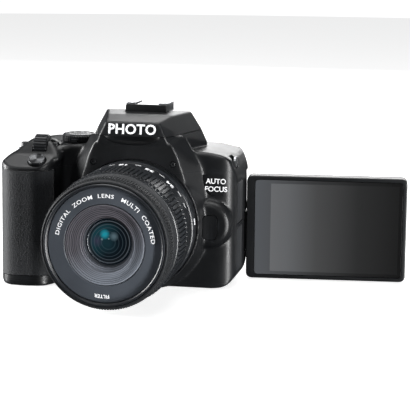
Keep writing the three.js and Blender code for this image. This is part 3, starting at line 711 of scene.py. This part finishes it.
def casing():
    outer = outer_form()
    skin = portion(outer, "skin", skin_zone(0))
    cut(skin, prism("under skin", plan(2.3, BACK), 0, 70, steps=8))
    bed = cut(skin_zone(GAP), prism("under bed", plan(2.6, BACK), 0, 70, steps=8))
    head = portion(outer, "head", head_zone(0))
    floor_plate = portion(outer, "plate", block(-80, 60, -40, 45, -1, FLOOR_TOP))
    cut(outer, *inner_room())
    front = portion(outer, "front", block(-80, 60, -40, SPLIT, FLOOR_TOP + HAIRLINE, WAIST - HAIRLINE))
    rear = portion(outer, "rear", block(-80, 60, SPLIT + HAIRLINE, 45, FLOOR_TOP + HAIRLINE,
        WAIST - HAIRLINE))
    top = common(outer, block(-80, 60, -40, 45, WAIST, 95))
    for piece in (front, rear, top):
        thin_out(piece, 0.4)
    # front cover: grip bed, doors, release button, badge, screws, microphone pinholes
    shutter_hole = move(rod("z", 5.0, -6, 6, 0, 0, 48), shifted(*SHUTTER) @ Matrix.Rotation(SLOPE, 4, "X"))
    screws = [rod("y", 1.75, -26, y, x, z, 28) for x, z, y in ((-20.6, 65.4, -22.9), (20.6, 65.4, -22.9))]
    ports = [block(49.3, 51.8, -4.3, 10.9, z0 - GAP, z1 + GAP) for z0, z1 in ((33, 54), (8, 30.6))]
    port_rooms = [block(40, RIGHT, 0, 7, 38, 50), block(40, RIGHT, 0, 7, 12, 26)]
    release = pad(34.7, 42.5, 26.3, 39.3, 3.0, -20, -8.8)
    badge = prism("badge", [(33.6, 59.2, 1), (46.6, 59.2, 1), (46.6, 48.2, 1), (37.4, 48.2, 3),
        (34.4, 52, 3)],
            -13, FACE + 0.45, "y")
    pinhole = rod("y", 0.45, -13, -10, 30.6, 58.6, 16)
    cut(skin, twin(shutter_hole, "skin hole"))
    cut(front, bed, twin(shutter_hole, "hole"), *ports, *port_rooms, release, badge, pinhole)
    # rear cover
    ears = join(rod("z", 2.2, 36.5, 40.3, 48.6, 25.5, 24), rod("z", 2.2, 10.1, 13.9, 48.6, 25.5, 24))
    join(rear, ears)
    bed_again = block(LEFT - 1, -67.4, 11, 22 + GAP, FLOOR_TOP + 2.5, WAIST - 0.9)
    cut(rear, bed_again, block(45.2, RIGHT + 1, 16.2, 40, 14.2, 36.2),
        rod("z", 1.5, 10.7, 39.7, 48.6, 25.5, 16),
        rod("y", CROSS[2] + GAP, THUMB_BACK - 4, THUMB_BACK + 1, CROSS[0], CROSS[1], 48),
        *button_holes(0, 61))
    # top cover
    seat = join(block(-11.2, 11.2, 4.6, 24.3, 87.4, 95), block(-WING_INNER, WING_INNER, HEAD_BACK, 14.3,
        87.4, 95.1))
    finger_scoop = hull([(14.5 * math.cos(u) * math.cos(v), -25.4 + 3.4 * math.sin(v),
        79.2 + 5.0 * math.sin(u) * math.cos(v))
            for u in np.linspace(0, 2 * math.pi, 48, False) for v in np.linspace(-1.4, 1.4,
            15)])
    lug_right = hull([(47.1, -4.6, 61.4), (47.1, 2.6, 61.4), (53, -4.6, 61.4), (53, 2.6, 61.4),
            (44.6, -5.2, 72), (44.6, 3.2, 72), (53, -5.2, 72), (53, 3.2, 72)])
    lug_left = block(LEFT - 2, -66.4, 1.4, 8.6, 61.4, 75)
    speaker = [rod("z", 0.32, 60, 75, 25.4 + 2.3 * i, -4.2 + 0.3 * i, 10) for i in range(4)]
    cut(top, head_zone(GAP), rod("z", 11.1, 70.8, 90, *DIAL, 72), rod("z", 3.4, 64, 72, *DIAL, 24),
        rod("x", 7.0, -54.9, -47.1, -10.5, 70.3, 56), rod("z", 2.5, 63, 90, -44.4, -10.4, 28),
        rod("z", 2.5, 63, 90, -62.2, -4, 28), shutter_hole, lug_right, lug_left, seat, finger_scoop,
        pad(-9.6, 9.6, 63.9, 77.1, 2.4, 24, 40), *screws, *speaker, *button_holes(61, 90))
    # bottom plate and flash head
    cut(floor_plate, block(-66.3, -47, -20.3, 12.3, -1, 5), rod("z", 6.8, -1, 5, 0, 14, 48),
        rod("y", 33.5, -30, -20, 0, AXIS_Z, 96))
    thin_out(floor_plate, 0.4)
    cut(head, hull(both_sides([(11, -22.4, 79), (11, 0.5, 79), (11, -21.6, 84.2), (13, -1, 85.6)])))
    thin_out(head, 0.6)
    present(front, "front_shell", "body", black_casing, "black_casing", "front_cover")
    present(rear, "rear_shell", "body", black_casing, "black_casing", "rear_cover")
    present(top, "top_shell", "body", black_casing, "black_casing", "top_cover")
    present(floor_plate, "base_plate", "body", dark_trim, "dark_trim", "bottom_plate")
    present(head, "flash_cover", "flash", black_casing, "black_casing", "flash_head")
    present(thin_out(skin, 0.6), "grip_wrap", "body", grip_rubber, "grip_rubber", "grip_skin")


casing()


# ---- lettering
def lettering(name, words, height, depth=0.2, spacing=1.0, weight=0.0):
    """Plain letters lying in X and Y with their centre at the origin, in millimetres, standing up along Z."""
    curve = bpy.data.curves.new(name, "FONT")
    curve.body = words
    curve.size = height / 0.7 * MM
    curve.extrude = depth / 2 * MM
    curve.offset = weight * MM
    curve.align_x = "CENTER"
    curve.align_y = "CENTER"
    curve.space_character = spacing
    curve.resolution_u = 3
    holder = bpy.data.objects.new(name, curve)
    scene.collection.objects.link(holder)
    bpy.context.view_layer.update()
    mesh = bpy.data.meshes.new_from_object(holder.evaluated_get(bpy.context.evaluated_depsgraph_get()))
    bpy.data.objects.remove(holder)
    made = bpy.data.objects.new(name, mesh)
    scene.collection.objects.link(made)
    return made


def around(piece, radius_of, start, y):
    """Bends letters round the lens axis on a flat ring; the tops of the letters point outwards."""
    for v in piece.data.vertices:
        across, up, deep = v.co.x / MM, v.co.y / MM, v.co.z / MM
        angle = start - across / radius_of
        r = radius_of + up
        v.co = Vector((r * math.cos(angle), y - deep, AXIS_Z + r * math.sin(angle))) * MM
    return piece


def on_barrel(piece, radius, degrees, y):
    """Lays letters on a barrel about the lens axis, readable from behind; their tops point to the front."""
    angle = math.radians(degrees)
    for v in piece.data.vertices:
        across, up, deep = v.co.x / MM, v.co.y / MM, v.co.z / MM
        a = angle + across / radius
        r = radius + deep
        v.co = Vector((r * math.cos(a), y - up, AXIS_Z + r * math.sin(a))) * MM
    return piece


# ---- lens
def ribbed(count, depth, share, rows):
    """Square ribs round a ring: every rib rises for its share of the pitch, on the profile rows given."""
    def wave(row, i):
        if row not in rows:
            return 0.0
        return depth if (i % 8) / 8 < share else 0.0
    return count * 8, wave


def lens():
    fixed = turned([
        (27, -31), (27, -60), (28.1, -60), (28.1, -31), (32.6, -31), (33, -30.6), (33, -24.2),
        (32.5, -23.4),
        (33, -23.2), (33, -22.3), (25.6, -22.3), (25.6, -17), (24, -17), (24, -22.3), (13.4, -22.3),
        (13.4, -24.6),
        (27, -24.6)], 128)
    present(fixed, "fixed_barrel", "lens", lens_black, "lens_black", "lens_barrel")
    bar = prism("bar", [(-1.6, -0.6, 0.3), (1.6, -0.6, 0.3), (1.6, 0.6, 0.3), (-1.6, 0.6, 0.3)], -0.12,
        0.12, steps=4)
    present(on_barrel(bar, 33.0, 6.0, -27.7), "index_mark", "lens", white_ink, "lens_black")
    profile = [
        (30.2, -65.7), (31.9, -65.7), (32.3, -65.4), (32.4, -63.2), (32.45, -62.9), (32.45, -47.4),
        (32.4, -47.0),
        (32.9, -46.6), (32.9, -45.4), (32.6, -45.1), (32.6, -33.2), (33.0, -32.9), (33.1, -31.6),
        (32.8, -31.3),
        (30.2, -31.3)]
    sides, wave = ribbed(92, 0.72, 0.68, (4, 5))
    zoom = turned(profile, sides, wave)
    present(zoom, "zoom_grip", "zoom_ring", lens_black, "lens_black", "zoom_ring", crease=24)
    for words, degrees in (("18", 92.0), ("24", 46.5), ("35", 68.5), ("55", 118.0)):
        number = on_barrel(lettering("number", words, 3.4, 0.14, 1.0, 0.1), 32.62, degrees, -38.4)
        present(number, "zoom_number_" + words, "zoom_ring", white_ink, "lens_black")
    dashes = [(2.6, 57.0, 3.0), (2.6, 35.0, 3.0), (2.6, 80.0, 3.0), (0.6, 24.0, 2.4), (2.6, 104.0, 3.0)]
    for k, (drop, degrees, long) in enumerate(dashes):
        dash = prism("dash", [(-long / 2, -0.22, 0), (long / 2, -0.22, 0), (long / 2, 0.22, 0),
            (-long / 2, 0.22, 0)],
                -0.07, 0.07)
        present(on_barrel(dash, 32.62, degrees, -38.6 + drop), f"zoom_dash_{k}", "zoom_ring", white_ink,
            "lens_black")
    teeth = [
        (30, -82.9), (30.7, -82.9), (31.0, -82.6), (31.1, -80.7), (30.6, -80.4), (30.6, -79.6),
        (31.3, -79.4),
        (31.45, -79.2), (31.6, -74.6), (31.55, -74.3), (31.2, -74.0), (31.2, -73.0), (31.9, -72.6),
        (32.05, -72.2),
        (32.1, -66.4), (31.8, -66), (30, -66)]
    sides, wave = ribbed(150, 0.62, 0.55, (7, 8))
    focus = turned(teeth, sides, wave)
    present(focus, "focus_grip", "focus_ring", ring_rubber, "lens_black", "focus_ring", crease=24)
    barrel = turned([
        (28.4, -83.6), (28.7, -83.8), (29.3, -83.8), (29.6, -83.4), (29.6, -46), (28.4, -46), (28.4, -78),
        (14.2, -78), (14.2, -79.2), (28.4, -79.2), (28.4, -81.4), (28.15, -81.6), (28.15, -82.2),
        (28.4, -82.4),
        (28.4, -82.8), (28.15, -83.0), (28.15, -83.3)], 160)
    present(barrel, "front_barrel", "front_group", lens_black, "lens_black", "inner_barrel")
    face = turned([(19.7, -81.3), (20.0, -81.6), (27.7, -81.4), (28.05, -81.15), (28.1, -79.5),
        (19.7, -79.5)], 160)
    present(face, "name_plate", "front_group", satin_ring, "lens_black", "name_ring")
    spec = lettering("spec", "DIGITAL  ZOOM  LENS   MULTI  COATED", 1.9, 0.16, 1.12, 0.025)
    wide = max(v.co.x for v in spec.data.vertices) / MM
    fit = math.radians(83.0) * 23.6 / wide
    for v in spec.data.vertices:
        v.co.x *= fit
    present(around(spec, 23.6, math.radians(87.0), -81.56), "lens_data", "front_group", white_ink,
        "lens_black")
    size = around(lettering("size", "FILTER", 1.7, 0.16, 1.05, 0.05), 24.9, math.radians(-93.0), -81.53)
    present(size, "thread_data", "front_group", white_ink, "lens_black")
    steps = [
        (19.4, -79.5), (19.4, -81.55), (19.1, -81.7), (18.75, -81.6), (18.6, -80.7), (18.0, -80.6),
        (17.85, -79.85),
        (17.2, -79.75), (17.05, -79.1), (16.4, -79.0), (16.25, -78.4), (15.6, -78.3), (15.5, -78.75),
        (15.3, -78.95),
        (15.0, -78.95), (14.85, -78.75), (14.75, -77.3), (14.15, -77.2), (14.05, -76.65), (13.45, -76.55),
        (13.35, -76.0), (12.75, -75.9), (12.65, -75.4), (12.1, -75.3), (11.9, -75.45), (11.7, -75.4),
        (11.6, -74.6),
        (11.6, -60), (13.9, -60), (13.9, -79.5)]
    baffle = turned(steps, 128)
    present(baffle, "stepped_baffle", "front_group", baffle_black, "light_trap", "lens_baffle", crease=20)

    def cap(radius, edge_y, bulge, back, name):
        rows = 14
        dome = [(radius * math.sin(math.pi / 2 * k / rows), edge_y - bulge * math.cos(math.pi / 2 * k / rows))
                for k in range(rows + 1)]
        return turned([(0, dome[0][1])] + dome[1:] + [(radius, back), (0, back)], 96, closed=False,
            name=name)

    present(cap(11.3, -72.0, 2.2, -69.5, "front"), "front_glass", "front_group", front_glass,
        "coated_glass",
            "front_element", crease=50)
    # Pale rings on the rims of the inner elements are painted highlights.
    for k, (radius, y, width) in enumerate(((10.5, -72.75, 0.22), (15.02, -78.96, 0.26),
        (11.75, -75.42, 0.16))):
        ring = turned([(radius, y), (radius + width / 2, y - 0.1), (radius + width, y),
            (radius + width / 2, y + 0.3)], 96)
        present(ring, f"painted_highlight_ring_{k}", "front_group", ring_sheen, "coated_glass")


# The stepped baffle's colour is painted light: paler ridge lines as highlights on the steps and a brighter
# lower right, all also given as glow.
made = Finish("baffle black", **{"IOR": 1.5, "Emission Strength": 0.3})
turns = made.grain(1500.0, 2.0)
x_axis, _, z_axis = made.axes()
lower_right_light = (x_axis * 0.5 - (z_axis - AXIS_Z * MM)).over(-0.004, 0.018)
from_axis = (x_axis * x_axis + (z_axis - AXIS_Z * MM) ** 2.0) ** 0.5
ridge_highlights = (from_axis * (2 * math.pi / (0.82 * MM))).math("SINE") * 0.5 + 0.5
ridge_highlight_tone = made.blend(ridge_highlights, grey(0.012, 0.12), (0.13, 0.122, 0.14, 1))
ridge_highlight_tone = made.blend(lower_right_light * (ridge_highlights * 0.5 + 0.5), ridge_highlight_tone, grey(0.24, 0.10))
# Painted shade deep in the throat of the baffle.
throat_shade = 1 - from_axis.over(11.5 * MM, 12.6 * MM)
tone = made.blend(throat_shade, ridge_highlight_tone, made.blend(ridge_highlights, grey(0.004), grey(0.03, 0.1)))
made.set("Base Color", tone)
made.set("Emission Color", tone)
made.set("Roughness", 0.33 + (turns - 0.5) * 0.12)
made.bump(turns, 0.1, 0.01)
baffle_black = made.material
# Painted highlight: pale grey for the lit rims of the inner elements.
made = Finish("ring sheen", **{"IOR": 1.6})
made.set("Base Color", made.blend(made.grain(300.0), grey(0.14, 0.1), grey(0.22, 0.1)))
made.set("Roughness", 0.25 + made.grain(900.0) * 0.1)
made.bump(made.grain(1500.0), 0.1, 0.01)
ring_sheen = made.material

lens()


# ---- flash cover lettering, badge, screws
def front_details():
    tilt = math.radians(90 - 8.4)
    word = lettering("word", "PHOTO", 4.9, 0.3, 1.04, 0.14)
    move(word, shifted(0, -25.85, 82.55) @ Matrix.Rotation(tilt, 4, "X"))
    present(word, "front_lettering", "flash", white_ink, "black_casing")
    for k, (words, z, size) in enumerate((("AUTO", 55.7, 2.6), ("FOCUS", 51.7, 2.6))):
        line = lettering("line", words, size, 0.24, 1.0, 0.05)
        move(line, shifted(40.6, -11.55, z) @ Matrix.Rotation(math.radians(90), 4, "X"))
        present(line, f"badge_line_{k}", "body", white_ink, "black_casing")
    for k, x in enumerate((-20.6, 20.6)):
        screw = turned([(0, -23.2), (0.35, -23.2), (0.45, -23.55), (1.1, -23.6), (1.35, -23.4),
            (1.35, -22.9), (0, -22.9)],
                32, closed=False, centre=(x, 65.4))
        present(screw, f"face_screw_{k}", "body", button_black, "dark_trim")


front_details()


# ---- screen
def screen():
    arm = Matrix.Translation(Vector((48.6, 25.5, 0)) * MM) @ Matrix.Rotation(math.radians(5), 4, "Z")
    x0, z0 = 2.5, 0.6
    x1, z1 = x0 + 83.6, z0 + 54.6
    face, seam = -8.8, -2.4
    housing = pad(x0, x1, z0, z1, 3.4, face, seam, steps=10)
    ease_edges(housing, 0.55, 3)
    pocket = pad(x0 + 4.1, x1 - 1.9, z0 + 1.9, z1 - 1.9, 2.2, face - 1, face + 1.1)
    room = block(x0 + 12.5, x1 - 3.5, face + 0.9, face + 4, z0 + 3.6, z1 - 3.6)
    bore = rod("x", 1.9, 0, 9.5, -4.5, 27.9, 24)
    cut(housing, pocket, room, bore)
    present(move(housing, arm), "screen_shell", "screen", black_casing, "black_casing", "screen_housing")
    glass = pad(x0 + 4.4, x1 - 2.2, z0 + 2.2, z1 - 2.2, 2.0, face + 0.05, face + 0.8, steps=8)
    ease_edges(glass, 0.18, 2)
    present(move(glass, arm), "screen_window", "screen", screen_gloss, "screen_gloss", "screen_glass")
    back = pad(x0, x1, z0, z1, 3.4, seam + GAP, -0.2, steps=10)
    ease_edges(back, 0.7, 3)
    present(move(back, arm), "screen_lid", "screen", black_casing, "black_casing", "screen_back")
    post = rod("z", 2.2, 14.7, 35.7, 0, 0, 32)
    join(post, block(-2.8, 2.2, -7.4, 0, 14.7, 35.7), rod("z", 1.2, 10.9, 39.5, 0, 0, 20),
         rod("x", 1.6, 0, 9.0, -4.5, 27.9, 20))
    cut(post, block(-3.2, 2.9, -8, -6.9, 21.6, 22.1), block(-3.2, 2.9, -8, -6.9, 28.4, 28.9))
    ease_edges(post, 0.25, 2, 60)
    present(move(post, arm), "swing_hinge", "screen_arm", dark_trim, "dark_trim", "hinge_arm")


screen()


# ---- top controls
def knurled(radius, low, high, centre, axis, count, depth, crown=0.5, sides_each=6):
    """A ridged dial with a crowned rim."""
    profile = [(0, low), (radius - 0.5, low), (radius, low + 0.4), (radius, high - crown - 0.2),
            (radius - 0.25, high - crown), (radius - 0.7, high - 0.15), (radius - 1.4, high),
            (radius - 1.9, high - 0.02), (radius - 2.1, high - 0.22), (0, high - 0.22)]

    def wave(row, i):
        return -depth if row in (2, 3) and (i % sides_each) >= sides_each * 0.6 else 0.0
    return turned(profile, count * sides_each, wave, False, centre, axis)


def top_controls():
    dial = knurled(9.15, 72.2, 76.4, DIAL, "z", 44, 0.35, 0.9)
    join(dial, rod("z", 3.0, 66, 72.6, *DIAL, 24))
    present(dial, "mode_knob", "mode_dial", dark_trim, "dark_trim", "mode_dial", crease=24)
    letters = ("M", "A", "S", "P", "AUTO", "SCN", "C", "[]")
    for k, words in enumerate(letters):
        angle = 2 * math.pi * k / len(letters)
        mark = lettering("mark", words, 1.5, 0.1)
        move(mark, shifted(DIAL[0], DIAL[1], 76.2) @ Matrix.Rotation(angle, 4, "Z") @ shifted(0, 5.3, 0))
        present(mark, f"mode_mark_{k}", "mode_dial", white_ink, "dark_trim")
    lever = turned([(3.3, 71.1), (10.2, 71.1), (10.6, 71.3), (10.6, 71.8), (10.2, 71.9), (3.3, 71.9)], 72,
            centre=DIAL, axis="z")
    tab = pad(DIAL[0] - 1.5, DIAL[0] + 1.5, 71.1, 74.4, 0.4, DIAL[1] - 10.6, DIAL[1] - 9.7)
    nib = block(DIAL[0] - 1.5, DIAL[0] + 1.5, DIAL[1] - 12.4, DIAL[1] - 9.7, 72.9, 74.4)
    join(lever, tab, nib)
    present(lever, "power_lever", "power_switch", dark_trim, "dark_trim", "power_switch")
    wheel = turned([(0, -54.5), (5.9, -54.5), (6.45, -54.1), (6.45, -47.9), (5.9, -47.5), (0, -47.5)],
        26 * 6,
            lambda row, i: -0.6 if row in (2, 3) and i % 6 > 3 else 0.0, False, (-10.5, 70.3), "x")
    present(wheel, "front_wheel", "main_dial", dark_trim, "dark_trim", "main_dial", crease=24)
    disc = turned([(0, 0.62), (1.2, 0.60), (3.4, 0.72), (3.75, 0.98), (4.1, 0.98), (4.42, 0.6), (4.5, 0.2),
        (4.5, -2.6),
            (3.9, -3.2), (0, -3.2)], 96, closed=False, centre=(0, 0), axis="z")
    tilted = shifted(*SHUTTER) @ Matrix.Rotation(SLOPE, 4, "X")
    present(move(disc, tilted), "shutter_disc", "shutter_button", spun_button, "button_metal",
        "shutter_button")
    for name, (x, y, top) in {"iso": (-44.4, -10.4, 72.8), "display": (-62.2, -4, 71.6)}.items():
        cap = turned([(0, 66.5), (2.2, 66.5), (2.2, top - 0.35), (1.9, top), (1.2, top - 0.05),
            (0, top - 0.15)], 48,
                closed=False, centre=(x, y), axis="z")
        body = {"iso": "iso_button", "display": "disp_button"}[name]
        present(cap, name + "_cap", body, button_black, "dark_trim", body)


top_controls()


# ---- shoe, lugs, release button, eyepiece
def fittings():
    plate = pad(-10.9, 10.9, 87.7, 92.0, 1.2, 5.4, 7.0)
    ease_edges(plate, 0.3, 3)
    present(plate, "shoe_front", "body", black_casing, "black_casing")
    shoe = block(-10.9, 10.9, 7.3, 24, 87.7, 88.9)
    rails = []
    for side in (-1, 1):
        outer_x, lip_x = side * 10.9, side * 6.3
        rails.append(block(min(side * 9.4, outer_x), max(side * 9.4, outer_x), 7.3, 23.9, 87.8, 92.4))
        rails.append(block(min(lip_x, side * 10.8), max(lip_x, side * 10.8), 7.4, 24, 91.4, 92.5))
    join(shoe, *rails)
    join(shoe, pad(-5.5, 5.5, 88.0, 89.1, 0.3, 12, 20))
    ease_edges(shoe, 0.16, 2, 50)
    present(shoe, "shoe_rails", "body", steel_parts, "steel_parts", "hot_shoe")
    button = pad(35.0, 42.2, 26.6, 39.0, 2.8, -17.8, -11, steps=10)
    dish = move(rod("z", 14, -20, 20, 0, 0, 64), shifted(39.6, -31.1, 32.8))
    ease_edges(cut(button, dish), 0.45, 3)
    present(button, "release_cap", "lens_release", black_casing, "black_casing", "lens_release_button")
    for name, (x, y) in {"strap_lug_left": (-68, 5), "strap_lug_right": (48.7, -1)}.items():
        loop = turned([(1.5, x - 0.55), (1.75, x - 0.7), (2.4, x - 0.7), (2.7, x - 0.5), (2.7, x + 0.5),
            (2.4, x + 0.7),
                (1.75, x + 0.7), (1.5, x + 0.55)], 48, centre=(y, 64.8), axis="x")
        present(loop, name.replace("lug", "loop"), "body", steel_parts, "steel_parts", name)
    cup = pad(-17.5, 17.5, 59.0, 81.5, 5, 36.5, 41.8, steps=10)
    cut(cup, pad(-11.5, 11.5, 63, 78, 3.5, 34, 43, steps=10))
    ease_edges(cup, 1.3, 4)
    present(cup, "eye_cushion", "body", soft_rubber, "soft_rubber", "eyecup")
    rim = pad(-14, 14, 61.5, 79.5, 3, 34, 36.2, steps=8)
    cut(rim, pad(-9, 9, 64.5, 76.5, 2, 33, 38, steps=8))
    ease_edges(rim, 0.3, 2)
    present(rim, "eye_rim", "body", dark_trim, "dark_trim", "eyepiece_frame")
    rest = pad(-67, -57.5, 39.4, 52.6, 3, 33.3, 34.4, steps=8)
    ease_edges(rest, 0.5, 3)
    present(rest, "thumb_pad", "body", grip_rubber, "grip_rubber", "thumb_rest")
    for name, (x, z, back, r) in BACK_BUTTONS.items():
        cap = turned([(0, back - 2), (r, back - 2), (r, back + 0.5), (r - 0.3, back + 0.85),
            (r - 0.9, back + 0.9),
                (0, back + 0.75)], 48, closed=False, centre=(x, z))
        present(cap, name.replace("_button", "_cap"), name, button_black, "dark_trim", name)
    x, z, r = CROSS
    ring = turned([(3.7, 31), (8.4, 31), (8.4, 33.5), (8.0, 33.9), (7.2, 33.85), (5.4, 33.6), (4.1, 33.75),
        (3.7, 33.5)],
            72, centre=(x, z))
    present(ring, "arrow_ring", "cross_key", button_black, "dark_trim", "cross_key")
    centre = turned([(0, 31), (3.4, 31), (3.4, 33.8), (3.1, 34.1), (0, 33.95)], 48, closed=False,
        centre=(x, z))
    present(centre, "set_cap", "set_button", button_black, "dark_trim", "set_button")
    doors = {"mic_port_door": (33, 54), "hdmi_port_door": (8, 30.6)}
    for name, (z0, z1) in doors.items():
        door = block(49.6, 50.7, -4, 10.6, z0, z1)
        ease_edges(door, 0.3, 2)
        present(door, name.replace("door", "cover"), name, soft_rubber, "soft_rubber", name)
    hatch = block(-66, -47.3, -20, 12, 0.3, 2.5)
    cut(hatch, *[block(-64.5, -61, -18 + 1.6 * k, -17.2 + 1.6 * k, 0, 0.6) for k in range(5)])
    ease_edges(hatch, 0.25, 2)
    present(hatch, "battery_hatch", "battery_door", dark_trim, "dark_trim", "battery_door")


fittings()

# ---- solids that stay as they are
stay = {
    "tripod_bush": steel_parts, "mirror_box": light_trap, "reflex_mirror": mirror_silver,
    "focusing_screen": frosted_clear, "pentamirror": dark_trim, "shutter_unit": light_trap,
    "image_sensor": front_glass, "main_board": circuit_green, "battery": battery_grey,
    "memory_card": card_blue,
    "lens_mount_ring": steel_parts, "flash_lamp": frosted_clear, "eyepiece_lens": inner_glass,
    "lcd_panel": screen_gloss, "rear_element": inner_glass, "middle_element": inner_glass,
}
for node, material in stay.items():
    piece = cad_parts[node]
    piece.data.materials.clear()
    piece.data.materials.append(material)


# ---- stage, lights, camera
STAGE_REACH = 2600  # how far the floor and backdrop spread
MIDDLE = (0.02, 0.0, 0.04)  # where the lights point, in metres
VIEW_TURN, VIEW_RISE, VIEW_ROLL = 10.7594, 9.557, 0.6303  # degrees
VIEW_TARGET = (37.0, -22.0, 45.214)
VIEW_DISTANCE = 0.84185  # metres
LENS_LENGTH = 146.757  # on a sensor 36 mm wide


def stage():
    pale = Finish("pale floor", **{"Emission Color": (1, 1, 1, 1), "Emission Strength": 0.8})
    pale.set("Base Color", pale.blend(pale.grain(6.0), (0.55, 0.55, 0.55, 1), (0.57, 0.57, 0.57, 1)))
    pale.set("Roughness", 0.6 + pale.grain(20.0) * 0.1)
    floor = turned([(0, -0.2), (STAGE_REACH, -0.2)], 96, closed=False, centre=(0, 0), axis="z",
        name="floor")
    floor.data.materials.append(pale.material)
    floor.visible_diffuse = floor.visible_glossy = floor.visible_shadow = False
    glow = Finish("backdrop white", **{"Emission Color": (1, 1, 1, 1), "Emission Strength": 1.05,
            "Base Color": (0, 0, 0, 1), "Specular IOR Level": 0.0})
    wall = turned([(STAGE_REACH, -400), (STAGE_REACH, 2500), (0, 2500)], 96, closed=False, centre=(0, 0),
        axis="z", name="backdrop")
    wall.data.materials.append(glow.material)
    wall.visible_diffuse = wall.visible_glossy = wall.visible_transmission = wall.visible_shadow = False


def light(name, place, target, size, power):
    lamp = bpy.data.lights.new(name, "AREA")
    lamp.shape = "RECTANGLE"
    lamp.size, lamp.size_y = size
    lamp.energy = power
    holder = bpy.data.objects.new(name, lamp)
    scene.collection.objects.link(holder)
    holder.location = Vector(place)
    holder.rotation_euler = (Vector(target) - Vector(place)).to_track_quat("-Z", "Y").to_euler()
    holder.visible_camera = False
    return holder


def camera():
    az, el, roll = math.radians(VIEW_TURN), math.radians(VIEW_RISE), math.radians(VIEW_ROLL)
    back = Vector((math.sin(az) * math.cos(el), -math.cos(az) * math.cos(el), math.sin(el)))
    right = Vector((0, 0, 1)).cross(back).normalized()
    up = back.cross(right)
    x = math.cos(roll) * right + math.sin(roll) * up
    y = -math.sin(roll) * right + math.cos(roll) * up
    place = Vector(VIEW_TARGET) * MM + back * VIEW_DISTANCE
    data = bpy.data.cameras.new("view")
    data.sensor_width = 36
    data.lens = LENS_LENGTH
    data.clip_start = 0.01
    holder = bpy.data.objects.new("view", data)
    scene.collection.objects.link(holder)
    turn = Matrix((x, y, back)).transposed().to_4x4()
    holder.matrix_world = Matrix.Translation(place) @ turn
    scene.camera = holder


stage()
camera()
light("top softbox", (0.0, 0.10, 1.1), (0.0, 0.02, 0.05), (0.9, 0.7), 9)
light("left softbox", (-1.2, -0.16, 0.25), MIDDLE, (0.28, 0.9), 34)
light("right strip", (0.80, -0.47, -0.02), MIDDLE, (0.10, 0.8), 13)
light("front fill", (-0.25, -1.25, 1.25), MIDDLE, (0.9, 0.5), 4)
light("rear panel", (0.05, 1.25, 0.36), MIDDLE, (0.8, 0.45), 6)
world = bpy.data.worlds.new("studio")
scene.world = world
world.use_nodes = True
world.node_tree.nodes["Background"].inputs["Color"].default_value = (0.9, 0.95, 1.0, 1)
world.node_tree.nodes["Background"].inputs["Strength"].default_value = 0.05
scene.view_settings.view_transform = "Standard"
scene.view_settings.look = "None"
